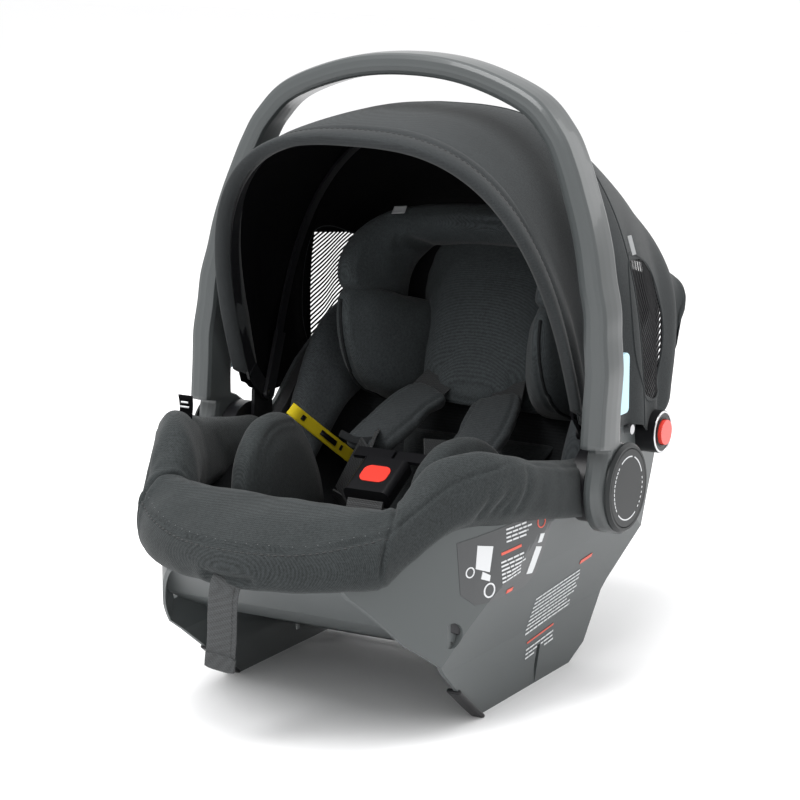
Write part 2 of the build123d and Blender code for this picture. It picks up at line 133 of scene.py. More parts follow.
def fabric(name, dark, light_, yarn=0.0011, heather=520.0, bump=0.35, rough=0.88, sheen=0.08, spec=0.2):
    """Woven cloth: crossing yarns, a heathered melange and slow tone changes."""
    m, nodes, links, b = new_material(name, dark, rough, sheen=sheen, spec=spec)
    coord = add(nodes, "ShaderNodeTexCoord")
    scale = 0.314 / yarn
    warp = add(nodes, "ShaderNodeTexWave", Scale=scale, Distortion=0.6)
    warp.bands_direction = "DIAGONAL"
    weft = add(nodes, "ShaderNodeTexWave", Scale=scale, Distortion=0.6)
    weft.bands_direction = "Z"
    depth = add(nodes, "ShaderNodeTexWave", Scale=scale, Distortion=0.6)
    depth.bands_direction = "Y"
    fibre = add(nodes, "ShaderNodeTexNoise", Scale=heather, Detail=3.0, Roughness=0.7)
    slow = add(nodes, "ShaderNodeTexNoise", Scale=14.0, Detail=3.0)
    for n in (warp, weft, depth, fibre, slow):
        links.new(coord.outputs["Object"], n.inputs["Vector"])
    cross = add(nodes, "ShaderNodeMath", operation="ADD")
    links.new(weft.outputs["Fac"], cross.inputs[0])
    links.new(depth.outputs["Fac"], cross.inputs[1])
    knit = add(nodes, "ShaderNodeMath", operation="MULTIPLY_ADD")
    links.new(cross.outputs[0], knit.inputs[0])
    knit.inputs[1].default_value = 0.33
    third = add(nodes, "ShaderNodeMath", operation="MULTIPLY")
    links.new(warp.outputs["Fac"], third.inputs[0])
    third.inputs[1].default_value = 0.33
    links.new(third.outputs[0], knit.inputs[2])
    tone = add(nodes, "ShaderNodeMath", operation="MULTIPLY_ADD")
    links.new(fibre.outputs["Fac"], tone.inputs[0])
    tone.inputs[1].default_value = 1.5
    links.new(knit.outputs[0], tone.inputs[2])
    ramp = add(nodes, "ShaderNodeValToRGB")
    ramp.color_ramp.elements[0].color = (*dark, 1)
    ramp.color_ramp.elements[1].color = (*light_, 1)
    squeeze = add(nodes, "ShaderNodeMapRange")
    squeeze.inputs["From Min"].default_value, squeeze.inputs["From Max"].default_value = 0.7, 1.8
    links.new(tone.outputs[0], squeeze.inputs["Value"])
    ramp.color_ramp.elements[0].position, ramp.color_ramp.elements[1].position = 0.1, 0.9
    links.new(squeeze.outputs["Result"], ramp.inputs["Fac"])
    shade = add(nodes, "ShaderNodeMixRGB", blend_type="MULTIPLY")
    shade.inputs["Fac"].default_value = 0.35
    links.new(ramp.outputs["Color"], shade.inputs["Color1"])
    links.new(slow.outputs["Fac"], shade.inputs["Color2"])
    links.new(shade.outputs["Color"], b.inputs["Base Color"])
    height = add(nodes, "ShaderNodeBump", Strength=bump, Distance=0.0006)
    links.new(tone.outputs[0], height.inputs["Height"])
    links.new(height.outputs["Normal"], b.inputs["Normal"])
    return m


def moulded(name, colour, rough=0.42, grain=900.0, bump=0.12, coat=0.0, metallic=0.0, wear=0.06, spec=0.32):
    """Moulded plastic: fine spark-eroded grain, slow gloss changes."""
    m, nodes, links, b = new_material(name, colour, rough, metallic=metallic, coat=coat, spec=spec)
    coord = add(nodes, "ShaderNodeTexCoord")
    fine = add(nodes, "ShaderNodeTexNoise", Scale=grain, Detail=2.0)
    slow = add(nodes, "ShaderNodeTexNoise", Scale=9.0, Detail=4.0)
    for n in (fine, slow):
        links.new(coord.outputs["Object"], n.inputs["Vector"])
    gloss = add(nodes, "ShaderNodeMapRange")
    gloss.inputs["To Min"].default_value = rough - wear
    gloss.inputs["To Max"].default_value = rough + wear
    links.new(slow.outputs["Fac"], gloss.inputs["Value"])
    links.new(gloss.outputs["Result"], b.inputs["Roughness"])
    height = add(nodes, "ShaderNodeBump", Strength=bump, Distance=0.0003)
    links.new(fine.outputs["Fac"], height.inputs["Height"])
    links.new(height.outputs["Normal"], b.inputs["Normal"])
    tint = add(nodes, "ShaderNodeMixRGB", blend_type="MIX")
    tint.inputs["Color1"].default_value = (*[c * 0.9 for c in colour], 1)
    tint.inputs["Color2"].default_value = (*[min(1, c * 1.1) for c in colour], 1)
    links.new(slow.outputs["Fac"], tint.inputs["Fac"])
    links.new(tint.outputs["Color"], b.inputs["Base Color"])
    return m


def webbing(name, dark, light_):
    """Woven harness strap: ribs across the strap and a melange."""
    return fabric(name, dark, light_, yarn=0.0016, heather=900.0, bump=0.6, rough=0.6, sheen=0.05, spec=0.4)


M = {
    "charcoal": fabric("charcoal_melange", (0.0108, 0.0126, 0.0131), (0.038, 0.044, 0.0455)),
    # painted light: the headrest's own cloth is the charcoal melange; this copy is painted lighter so the headrest in
    # the canopy's shade reads brighter
    "charcoal_painted_lighter": fabric("headrest_melange_painted_light", (0.026, 0.030, 0.032), (0.070, 0.080, 0.084)),
    "canopy": fabric("canopy_cloth", (0.0138, 0.0156, 0.0164), (0.037, 0.0418, 0.044),
                     yarn=0.0009, heather=700.0, bump=0.25),
    "band": fabric("rim_cloth", (0.0125, 0.014, 0.0148), (0.034, 0.038, 0.040),
                   yarn=0.0009, heather=700.0, bump=0.3),
    # near-black cloth for piping, hems and the seat lining; on the seat lining it is painted shade, a darker copy of
    # the charcoal melange
    "dark": fabric("near_black_cloth_and_painted_shade", (0.006, 0.0066, 0.0075), (0.020, 0.022, 0.024),
                   yarn=0.001, heather=700.0, sheen=0.02),
    # painted light: the side wings are the charcoal melange, painted lighter to stand in for light their shaded place
    # doesn't get
    "wing": fabric("wing_cloth_painted_light", (0.024, 0.027, 0.030), (0.072, 0.081, 0.086)),
    "lining": fabric("black_lining", (0.0010, 0.0010, 0.0013), (0.0032, 0.0032, 0.0038),
                     yarn=0.001, sheen=0.0, spec=0.05),
    "pad": fabric("pad_cloth", (0.014, 0.0155, 0.0165), (0.044, 0.049, 0.052), yarn=0.001),
    "pad_light": fabric("chest_pad_cloth", (0.022, 0.025, 0.027), (0.060, 0.067, 0.070), yarn=0.001),
    "web": webbing("harness_webbing", (0.012, 0.0125, 0.013), (0.042, 0.044, 0.046)),
    "tail": webbing("dark_webbing", (0.013, 0.0142, 0.015), (0.042, 0.046, 0.048)),
    "thread": new_material("thread", (0.003, 0.003, 0.0035), 0.6, sheen=0.1)[0],
    "thread_dim": new_material("thread_grey", (0.075, 0.078, 0.08), 0.6, sheen=0.1)[0],
    "mesh": fabric("mesh_strip", (0.004, 0.004, 0.005), (0.014, 0.014, 0.016), yarn=0.0008, sheen=0.02),
    "shell": moulded("shell_plastic", (0.066, 0.073, 0.074), rough=0.46, bump=0.1),
    "handle": moulded("handle_plastic", (0.050, 0.055, 0.056), rough=0.30, grain=1200, bump=0.05, coat=0.2),
    # painted shade: the hub is the handle's plastic, painted darker to hold down the bright reflection on its flat
    # face
    "hub": moulded("hub_plastic_painted_shade", (0.015, 0.0165, 0.017), rough=0.40, grain=1200, bump=0.05, spec=0.18),
    "black": moulded("black_plastic", (0.006, 0.006, 0.007), rough=0.34),
    "blue": moulded("pale_blue_plastic", (0.46, 0.70, 0.80), rough=0.35, bump=0.04),
    "red": moulded("red_plastic", (0.74, 0.05, 0.035), rough=0.30, bump=0.03, coat=0.3),
    "grey": moulded("grey_plastic", (0.2, 0.2, 0.205), rough=0.4),
    "print": moulded("pale_print", (0.58, 0.59, 0.60), rough=0.5, bump=0.05),
    "print_dim": moulded("grey_print", (0.26, 0.265, 0.27), rough=0.5, bump=0.05),
    "red_print": moulded("red_print", (0.60, 0.10, 0.07), rough=0.5, bump=0.05),
    "label": moulded("label_film", (0.052, 0.054, 0.056), rough=0.36, bump=0.04),
    "yellow": moulded("yellow_label", (0.80, 0.62, 0.02), rough=0.45, bump=0.05),
    "steel": moulded("plated_steel", (0.45, 0.45, 0.46), rough=0.3, metallic=1.0, grain=300, bump=0.1),
    "silver": moulded("silver_ring", (0.62, 0.62, 0.63), rough=0.22, metallic=0.9),
    "foam": moulded("liner_foam", (0.03, 0.03, 0.032), rough=0.8, grain=260, bump=0.8),
    "paper": new_material("stage_paper", (0.94, 0.94, 0.945), 0.7)[0],
}
SLOT_LOOK = {"shell_plastic": "shell", "foam": "foam", "black_plastic": "black", "handle_plastic": "handle",
             "blue_button": "blue", "charcoal_fabric": "charcoal", "cover_fabric": "dark", "canopy_fabric": "canopy",
             "webbing": "web", "pad_fabric": "pad", "buckle_plastic": "black", "red_button": "red",
             "grey_button": "grey", "steel": "steel"}
slot_of = {s["node"]: s["material_slot"] for s in frame["record"]["subparts"]}
for node, obj in frame["nodes"].items():
    # hub covers take the darker copy of the handle plastic: painted shade
    look = M["hub" if node.startswith("hub_cover") else SLOT_LOOK[slot_of[node]]]
    if not obj.material_slots:
        obj.data.materials.append(look)
    for s in obj.material_slots:
        s.material = look


# ---------------------------------------------------------------- mesh helpers
def between(a, b, c, d, t):
    """Catmull-Rom: the curve between b and c, at share t."""
    bend = 2 * a - 5 * b + 4 * c - d
    twist = 3 * b - a - 3 * c + d
    return 0.5 * (2 * b + (c - a) * t + bend * t ** 2 + twist * t ** 3)


def spline(points, count, closed=False):
    """Catmull-Rom through points, resampled to count points at even arc length. points may be (k, d)."""
    p = np.array(points, float)
    if closed:
        q = np.vstack([p[-1], p, p[0], p[1]])
    else:
        q = np.vstack([2 * p[0] - p[1], p, 2 * p[-1] - p[-2]])
    fine = []
    for i in range(1, len(q) - 2):
        t = np.linspace(0, 1, 24, endpoint=False)[:, None]
        fine.append(between(q[i - 1], q[i], q[i + 1], q[i + 2], t))
    fine = np.vstack(fine + [q[-2][None]])
    run = np.concatenate([[0], np.cumsum(np.linalg.norm(np.diff(fine, axis=0), axis=1))])
    at = np.linspace(0, run[-1], count + 1)[:-1] if closed else np.linspace(0, run[-1], count)
    return np.stack([np.interp(at, run, fine[:, k]) for k in range(fine.shape[1])], axis=1)


def across(rings, count):
    """Resamples a list of same-length rings smoothly along the other direction."""
    g = np.array(rings, float)
    k = len(g)
    q = np.concatenate([[2 * g[0] - g[1]], g, [2 * g[-1] - g[-2]]])
    out = []
    for s in np.linspace(0, k - 1, count):
        i = min(int(s), k - 2)
        out.append(between(q[i], q[i + 1], q[i + 2], q[i + 3], s - i))
    return np.array(out)


def make(name, verts, faces, look, body=None, smooth=True):
    mesh = bpy.data.meshes.new(name)
    mesh.from_pydata([tuple(v) for v in verts], [], faces)
    mesh.validate()
    mesh.update()
    obj = bpy.data.objects.new(name, mesh)
    bpy.context.collection.objects.link(obj)
    mesh.materials.append(M[look])
    if smooth:
        mesh.polygons.foreach_set("use_smooth", [True] * len(mesh.polygons))
    if body:
        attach(obj, body)
    return obj


def grid_faces(rows, cols, wrap):
    faces = []
    for i in range(rows - 1):
        for j in range(cols if wrap else cols - 1):
            k = (j + 1) % cols
            faces.append((i * cols + j, i * cols + k, (i + 1) * cols + k, (i + 1) * cols + j))
    return faces


def tube(name, grid, look, body=None):
    """A closed skin over rings; each end is closed with a shallow dome."""
    rows, cols, _ = grid.shape
    verts = list(grid.reshape(-1, 3))
    faces = grid_faces(rows, cols, True)
    for end, sign in ((0, -1), (rows - 1, 1)):
        ring = grid[end]
        centre = ring.mean(axis=0)
        previous = [end * cols + j for j in range(cols)]
        step = centre - grid[end - sign].mean(axis=0)
        length = np.linalg.norm(step) or 1.0
        size = np.linalg.norm(ring - centre, axis=1).mean()
        for share in (0.75, 0.45, 0.15):
            dome = math.sqrt(1 - share * share) * size * 0.18
            first = len(verts)
            verts.extend(centre + (ring - centre) * share + step / length * dome)
            now = list(range(first, first + cols))
            for j in range(cols):
                k = (j + 1) % cols
                quad = (previous[j], previous[k], now[k], now[j])
                faces.append(quad if sign > 0 else quad[::-1])
            previous = now
        faces.append(tuple(previous) if sign > 0 else tuple(reversed(previous)))
    obj = make(name, verts, faces, look, body)
    fix_normals(obj)
    return obj


def fix_normals(obj):
    bm = bmesh.new()
    bm.from_mesh(obj.data)
    bmesh.ops.recalc_face_normals(bm, faces=bm.faces)
    bm.to_mesh(obj.data)
    bm.free()


def apply_all(obj):
    """Turns obj's modifiers into its mesh."""
    dg = bpy.context.evaluated_depsgraph_get()
    mesh = bpy.data.meshes.new_from_object(obj.evaluated_get(dg))
    obj.modifiers.clear()
    old = obj.data
    obj.data = mesh
    bpy.data.meshes.remove(old)
    mesh.polygons.foreach_set("use_smooth", [True] * len(mesh.polygons))


def coords(obj):
    c = np.empty(len(obj.data.vertices) * 3)
    obj.data.vertices.foreach_get("co", c)
    return c.reshape(-1, 3)


def set_coords(obj, c):
    obj.data.vertices.foreach_set("co", np.asarray(c, float).ravel())
    obj.data.update()


def normals(obj):
    n = np.empty(len(obj.data.vertices) * 3)
    obj.data.vertex_normals.foreach_get("vector", n)
    return n.reshape(-1, 3)


def voxel(obj, size):
    r = obj.modifiers.new("r", "REMESH")
    r.mode, r.voxel_size, r.use_smooth_shade = "VOXEL", size, True
    apply_all(obj)


def relax(obj, rounds):
    s = obj.modifiers.new("s", "SMOOTH")
    s.iterations, s.factor = rounds, 0.5
    apply_all(obj)


def subdivide(obj):
    d = obj.modifiers.new("d", "SUBSURF")
    d.levels = d.render_levels = 1
    apply_all(obj)


def swell(obj, cap, pressure=4.0):
    """Inflates obj as pressurised cloth for 20 frames; no point moves further than cap."""
    start = coords(obj)
    c = obj.modifiers.new("c", "CLOTH")
    st = c.settings
    st.quality, st.mass = 4, 0.2
    st.tension_stiffness = st.compression_stiffness = 18
    st.shear_stiffness, st.bending_stiffness = 10, 0.6
    st.use_pressure, st.uniform_pressure_force = True, pressure
    st.effector_weights.gravity = 0
    c.collision_settings.use_collision = False
    c.point_cache.frame_start, c.point_cache.frame_end = 1, 20
    scene = bpy.context.scene
    for f in range(1, 21):
        scene.frame_set(f)
    swollen = obj.evaluated_get(bpy.context.evaluated_depsgraph_get()).to_mesh()
    moved = np.empty(len(swollen.vertices) * 3)
    swollen.vertices.foreach_get("co", moved)
    moved = moved.reshape(-1, 3) - start
    obj.modifiers.clear()
    scene.frame_set(1)
    far = np.linalg.norm(moved, axis=1)[:, None]
    set_coords(obj, start + moved * np.minimum(1, cap / np.maximum(far, 1e-9)))


PAD_SHRINK = 0.0015               # room left for the swelling


def puff(obj, size=0.005, cap=0.007):
    """A stuffed pad: remesh, inflate as pressurised cloth, cap the swelling, subdivide."""
    look = obj.data.materials[0]
    voxel(obj, size)
    relax(obj, 6)
    set_coords(obj, coords(obj) - normals(obj) * PAD_SHRINK)
    swell(obj, cap)
    relax(obj, 2)
    subdivide(obj)
    obj.data.materials.clear()
    obj.data.materials.append(look)


def from_cad(node, name, look, body, **how):
    """A stuffed pad that starts as a copy of a soft CAD solid and stands for it."""
    obj = bpy.data.objects.new(name, frame["nodes"][node].data.copy())
    bpy.context.collection.objects.link(obj)
    obj.data.materials.clear()
    obj.data.materials.append(M[look])
    puff(obj, **how)
    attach(obj, body)
    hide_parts(node)
    return obj


def rumple(obj, size, scale, seed=0.0):
    """Slow swells and fine puckers over a cloth surface."""
    c, n = coords(obj), normals(obj)
    slow = np.array([noise.noise(Vector(p * scale + seed)) for p in c])
    fine = np.array([noise.noise(Vector(p * scale * 2.7 + seed + 9)) for p in c])
    set_coords(obj, c + n * ((slow + 0.4 * fine) * size)[:, None])


def groove(obj, path, width, depth, bulge=0.0):
    """A sewn seam: the surface near the path is drawn in, and swells a little beside it."""
    line = spline(path, 240)
    tree = KDTree(len(line))
    for i, p in enumerate(line):
        tree.insert(Vector(p), i)
    tree.balance()
    c, n = coords(obj), normals(obj)
    move = np.zeros(len(c))
    for i, p in enumerate(c):
        d = tree.find(Vector(p))[2]
        if d < width * 3:
            sunk = math.exp(-(d / (width * 0.5)) ** 2)
            raised = math.exp(-((d - width * 1.3) / width) ** 2)
            move[i] = -depth * sunk + bulge * raised
    set_coords(obj, c + n * move[:, None])


def on_surface(obj, path, count, closed, lift):
    """The path's points dropped on obj's nearest surface, with normals."""
    tree = BVHTree.FromPolygons([v.co for v in obj.data.vertices], [p.vertices for p in obj.data.polygons])
    points, norms = [], []
    for p in spline(path, count, closed):
        at, nor, _, _ = tree.find_nearest(Vector(p))
        points.append(np.array(at + nor * lift))
        norms.append(np.array(nor))
    return np.array(points), np.array(norms)


def length_of(path):
    p = np.array(path, float)
    return np.linalg.norm(np.diff(p, axis=0), axis=1).sum()


def stitches(name, obj, path, body, look="thread", pitch=0.0062, length=0.0042, radius=0.00055):
    """A row of thread stitches lying on obj along path."""
    count = max(4, int(length_of(path) / pitch))
    points, norms = on_surface(obj, path, count, False, 0.0003)
    verts, faces = [], []
    for i in range(len(points)):
        a, b = points[max(i - 1, 0)], points[min(i + 1, len(points) - 1)]
        t = (b - a) / (np.linalg.norm(b - a) or 1)
        n = norms[i]
        s = np.cross(n, t)
        base = len(verts)
        for along, r in ((-0.5, 0.25), (-0.32, 1), (0.32, 1), (0.5, 0.25)):
            for k in range(5):
                w = 2 * math.pi * k / 5
                round_ = (s * math.cos(w) + n * math.sin(w) * 0.8) * radius * r
                verts.append(points[i] + t * along * length + round_)
        for ring in range(base, base + 15, 5):
            for k in range(5):
                j = (k + 1) % 5
                faces.append((ring + k, ring + j, ring + 5 + j, ring + 5 + k))
        faces.append(tuple(base + k for k in reversed(range(5))))
        faces.append(tuple(base + 15 + k for k in range(5)))
    return make(name, verts, faces, look, body)


def piping(name, path, radius, look, body, obj=None, closed=False, lift=0.0, sides=8, count=120):
    """A thin round welt or edge roll along a path."""
    line = on_surface(obj, path, count, closed, lift)[0] if obj else spline(path, count, closed)
    verts = []
    for i, p in enumerate(line):
        a = line[i - 1] if (i or closed) else line[0]
        b = line[(i + 1) % len(line)] if (i + 1 < len(line) or closed) else line[-1]
        t = Vector(b - a).normalized()
        u = t.orthogonal().normalized() if i == 0 else (u - t * u.dot(t)).normalized()
        v = t.cross(u)
        for k in range(sides):
            w = 2 * math.pi * k / sides
            verts.append(Vector(p) + (u * math.cos(w) + v * math.sin(w)) * radius)
    rows = len(line)
    last = (rows - 1) * sides
    faces = grid_faces(rows, sides, True)
    if closed:
        faces += [(last + k, last + (k + 1) % sides, (k + 1) % sides, k) for k in range(sides)]
    else:
        faces += [tuple(reversed(range(sides))), tuple(last + k for k in range(sides))]
    obj = make(name, verts, faces, look, body)
    fix_normals(obj)
    return obj


def superellipse(half_w, half_h, power, count):
    w = np.linspace(0, 2 * math.pi, count, endpoint=False)
    c, s = np.cos(w), np.sin(w)
    return np.sign(c) * np.abs(c) ** (2 / power) * half_w, np.sign(s) * np.abs(s) ** (2 / power) * half_h


def ribbon_faces(base, count):
    """Faces of a four-cornered bar, count sections long, whose first vertex is base."""
    faces = []
    for i in range(count):
        for c in range(4):
            d = (c + 1) % 4
            faces.append((base + i * 4 + c, base + i * 4 + d, base + i * 4 + 4 + d, base + i * 4 + 4 + c))
    return faces + [tuple(base + c for c in reversed(range(4))), tuple(base + count * 4 + c for c in range(4))]


# ---------------------------------------------------------------- stage
floor = make("floor", [(-6, -6, 0), (6, -6, 0), (6, 6, 0), (-6, 6, 0)], [(0, 1, 2, 3)], "paper")

# ---------------------------------------------------------------- the cover's front roll: lip and both arms
ROLL = [
    [(0, -292, 147), (0, -310, 162), (0, -304, 185), (0, -270, 200),
     (0, -222, 208), (0, -208, 198), (0, -214, 172)],
    [(50, -285, 147), (50, -302, 163), (50, -296, 186), (50, -264, 201),
     (50, -222, 209), (48, -208, 199), (48, -214, 172)],
    [(88, -268, 148), (94, -284, 165), (93, -276, 192), (90, -250, 206),
     (87, -222, 211), (83, -210, 200), (85, -216, 174)],
    [(113, -249, 151), (120, -262, 170), (122, -252, 198), (119, -238, 212),
     (110, -222, 214), (103, -208, 200), (106, -214, 175)],
    [(128, -228, 168), (136, -232, 190), (134, -226, 213), (127, -214, 228),
     (112, -204, 222), (103, -198, 198), (108, -204, 176)],
    [(142, -196, 184), (151, -198, 206), (149, -194, 231), (139, -190, 248),
     (121, -186, 240), (110, -184, 208), (114, -186, 180)],
    [(160, -158, 196), (169, -160, 216), (167, -160, 238), (156, -160, 252),
     (138, -158, 244), (128, -156, 206), (131, -156, 178)],
    [(173, -124, 192), (180, -124, 211), (178, -125, 231), (166, -126, 244),
     (150, -126, 235), (140, -126, 200), (143, -126, 174)],
    [(180, -86, 183), (186, -86, 201), (184, -86, 220), (173, -86, 233),
     (158, -86, 225), (149, -86, 196), (151, -86, 174)],
    [(183, -52, 174), (187, -52, 192), (185, -50, 211), (176, -48, 224),
     (160, -46, 218), (151, -46, 196), (153, -48, 178)],
    [(183, -10, 166), (187, -8, 184), (185, -6, 203), (177, -4, 217),
     (161, -2, 215), (152, -2, 200), (155, -4, 184)],
]
LIP_END = 3                       # station where the lip is sewn to the arm
right_rings = [spline(np.array(r) * MM, 44, closed=True) for r in ROLL]
left_rings = [r * MIRROR for r in right_rings[:0:-1]]
roll = tube("cover_roll", across(left_rings + right_rings, 230), "charcoal")
swell(roll, 0.003, 2.0)
subdivide(roll)
rumple(roll, 0.0013, 22, 3.0)
front_seam = [tuple(p) for p in mm([(-122, -252, 198), (-92, -277, 191), (-50, -297, 185), (0, -304, 183),
                                    (50, -297, 185), (92, -277, 191), (122, -252, 198)])]
groove(roll, front_seam, 0.0036, 0.0026, bulge=0.0008)
end_seams, ridges = [], []
for _, sign in SIDES:
    mirror = np.array([sign, 1, 1]) * MM
    end_seams.append(np.array(ROLL[LIP_END][:6]) * mirror)
    ridges.append(np.array([r[2] if i < 4 else (np.array(r[2]) + np.array(r[3])) / 2
                            for i, r in enumerate(ROLL[LIP_END:])]) * mirror)
for path in end_seams:
    groove(roll, path, 0.0034, 0.0034, bulge=0.0010)
for path in ridges:
    groove(roll, path, 0.0030, 0.0016, bulge=0.0004)
for _, sign in SIDES:             # puckers under the arm where the cloth is pulled round the shell
    for y, tilt in ((-168, 12), (-154, 16), (-142, 15), (-128, 10)):
        x = float(np.interp(y, (-196, -158, -124), (152, 170, 181)))
        pucker = mm([(x - 4, y, 200), (x, y + tilt * 0.5, 214), (x - 2, y + tilt, 229)], sign)
        groove(roll, pucker, 0.007, 0.0017, bulge=0.0008)
slot_mouth = [(-0.021, -0.306, 0.158), (0, -0.308, 0.1575), (0.021, -0.306, 0.158)]
groove(roll, slot_mouth, 0.006, 0.004, bulge=0.0012)
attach(roll, "seat")
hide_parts("lip_cushion", "side_bolster_left", "side_bolster_right")
below = [(x, y - 0.0026, z - 0.0034) for x, y, z in front_seam]
stitches("lip_stitching", roll, below, "seat", pitch=0.0056, length=0.0036)
above = [(x, y + 0.002, z + 0.005) for x, y, z in front_seam]
stitches("lip_stitching_pale", roll, above, "seat", look="thread_dim", pitch=0.0095, length=0.0012, radius=0.0003)

# ---------------------------------------------------------------- stuffed pads that start from the CAD solids
# the seat lining takes the near-black cloth: painted shade over its charcoal
pads = [("back_cushion", "seat_lining", "dark", "seat", dict(size=0.006, cap=0.004)),
        ("insert_cushion", "insert_pad", "pad", "seat", dict(size=0.006, cap=0.008))]
for node, name, look, body, how in pads:
    pad = from_cad(node, name, look, body, **how)

# ---------------------------------------------------------------- headrest, leg pads and side wings
LEAN = math.radians(20)           # the backrest leans this far from upright
BACK_POINT = np.array([0, 0.150, 0.215])
ACROSS = np.array([1, 0, 0])
INTO = np.array([0, math.cos(LEAN), -math.sin(LEAN)])
UP = np.array([0, math.sin(LEAN), math.cos(LEAN)])


def on_back(x, d, h):
    """A point of the backrest's frame, in mm: across, depth into the back, height up the back."""
    return (ACROSS * x + INTO * d + UP * h) * MM + BACK_POINT


def slab(name, outline, at, half, look, frame_of, size=0.005, cap=0.005):
    """A stuffed pad from its outline: frame_of(u, v, w) places a point, w running through its thickness."""
    o = spline(outline, 72, closed=True)
    mid = o.mean(axis=0)
    rings = []
    for w, share in ((-1, 0.84), (-0.9, 0.94), (-0.6, 0.99), (0, 1), (0.6, 0.99), (0.9, 0.94), (1, 0.84)):
        rings.append([frame_of(u, v, at + w * half) for u, v in mid + (o - mid) * share])
    obj = tube(name, np.array(rings), look)
    puff(obj, size=size, cap=cap)
    return obj


def pad_piece(obj, body, slot_node, *nodes, fill=0.7):
    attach(obj, body)
    if nodes:
        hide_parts(*nodes)


def back_uvw(u, v, w):
    return on_back(u, w, v)


def mirrored(half):
    """An outline from its left half, which runs bottom to top and ends at the middle."""
    return half + [(-x, y) for x, y in half[-2::-1]]


# across and up the back, from the bottom left; the last point is the middle of the bottom edge
BACK_OUTLINE = mirrored([(-78, -4), (-82, 60), (-80, 130), (-60, 160), (0, 166)]) + [(0, -8)]
PANEL_OUTLINE = mirrored([(-46, -6), (-46, 2), (-43.5, 50), (-41, 84), (-38, 89), (0, 90)]) + [(0, -9)]
PANEL_SEAM = mirrored([(-41, -4), (-39, 40), (-37, 82), (0, 85)])
# headrest back, panel, halo and wings take the charcoal melange painted lighter: painted light on their shade
back_pad = slab("headrest_back", BACK_OUTLINE, -22, 8, "charcoal_painted_lighter", back_uvw, cap=0.004)
pad_piece(back_pad, "headrest", "headrest_pad", "headrest_pad")
panel = slab("headrest_panel", PANEL_OUTLINE, -34.5, 6, "charcoal_painted_lighter", back_uvw, cap=0.003, size=0.004)
border = [on_back(x, -43, h) for x, h in PANEL_SEAM]
groove(panel, border, 0.0042, 0.0034, bulge=0.0010)
pad_piece(panel, "headrest", "headrest_pad")

# leg pads and side wings: each one stands against the shell's side
LEG = [(-148, 140), (-157, 176), (-151, 212), (-128, 236), (-96, 245), (-62, 240), (-30, 218), (-4, 184), (12, 150),
       (10, 130), (-60, 124), (-120, 128)]
LEG_SEAM = [(-128, 140), (-140, 176), (-136, 208), (-118, 228), (-94, 234), (-62, 230)]
LEG_FLARE = 0.12                  # the pads stand further apart towards the back
WING_TOP = [(34, 226), (47, 248), (62, 270), (80, 290), (106, 306), (136, 320), (170, 332)]
for side, sign in SIDES:
    leg_pad = slab(f"leg_pad_{side}", LEG, 99, 13, "charcoal",
                   lambda u, v, w: np.array([sign * (w + LEG_FLARE * (u + 70)), u, v]) * MM, cap=0.008)
    seam = [np.array([sign * (89 + LEG_FLARE * (y + 70)), y, z]) * MM for y, z in LEG_SEAM]
    groove(leg_pad, seam, 0.003, 0.0018, bulge=0.0006)
    pad_piece(leg_pad, "seat", f"leg_wing_{side}", f"leg_wing_{side}")
    rings = []
    for y, top in spline(WING_TOP, 40):
        half_high = 34 + 16 * min(1.0, (y - 30) / 40)
        u, v = superellipse(13, half_high, 3.0, 44)
        x0 = float(np.interp(y, (30, 100, 180), (150, 148, 136)))
        rings.append([np.array([sign * (x0 + a + (b - 40) * 0.16), y, top - half_high + b]) * MM
                      for a, b in zip(u, v)])
    # the side wings take the charcoal melange painted lighter: painted light
    side_wing = tube(f"side_wing_{side}", np.array(rings), "wing")
    puff(side_wing, size=0.005, cap=0.006)
    pad_piece(side_wing, "seat", f"upper_wing_{side}", f"upper_wing_{side}")
LOBE = [(-15, -2), (-42, -8), (-68, -6), (-92, 4), (-112, 22), (-127, 44), (-134, 64), (-132, 78), (-118, 87),
        (-88, 91), (-50, 90), (-15, 86)]
# across, up the back, front depth and half thickness of the rim, from the side to the top
HALO = [(101, 82, -136, 16), (105, 98, -140, 17), (104, 118, -136, 17), (97, 138, -122, 17), (82, 154, -104, 16),
        (56, 163, -86, 15), (28, 167, -76, 15), (0, 168, -72, 15)]
# depth and height of the piping; then, through the lobe's thickness, the share of its full outline
LOBE_WELT = [(-20, -10), (-62, -4), (-92, 9), (-112, 27), (-129, 48), (-140, 68)]
LOBE_STEPS = ((0, 0.80), (0.05, 0.92), (0.16, 0.985), (0.35, 1), (0.65, 1), (0.84, 0.985), (0.95, 0.93), (1, 0.82))


def lobe(name, outline, outer, sign, look, size=0.005, cap=0.006):
    """A wing of the headrest: flat outside, its inner face running in towards the centre panel."""
    o = spline(outline, 72, closed=True)
    mid = o.mean(axis=0)
    rings = []
    for w, share in LOBE_STEPS:
        ring = []
        for d, h in mid + (o - mid) * share:
            inner = 58 + (min(-d, 134) - 25) / 109 * 38
            ring.append(on_back((outer * (1 - w) + inner * w) * sign, d, h))
        rings.append(ring)
    obj = tube(name, np.array(rings), look)
    puff(obj, size=size, cap=cap)
    return obj


def halo(name, look):
    """The raised rim of the headrest, one horseshoe over the top."""
    full = [(-x, h, d, t) for x, h, d, t in HALO] + HALO[-2::-1]
    line = spline(full, 70)
    rings = []
    for i, (x, h, d, t) in enumerate(line):
        a, b = line[max(i - 1, 0)], line[min(i + 1, len(line) - 1)]
        run = np.array([b[0] - a[0], b[1] - a[1]])
        run /= np.linalg.norm(run)
        n = np.array([run[1], -run[0]])
        u, v = superellipse(t, (-d - 14) / 2, 3.2, 40)
        rings.append([on_back(x + n[0] * a_, (d - 14) / 2 + b_, h + n[1] * a_) for a_, b_ in zip(u, v)])
    obj = tube(name, np.array(rings), look)
    puff(obj, size=0.005, cap=0.006)
    return obj


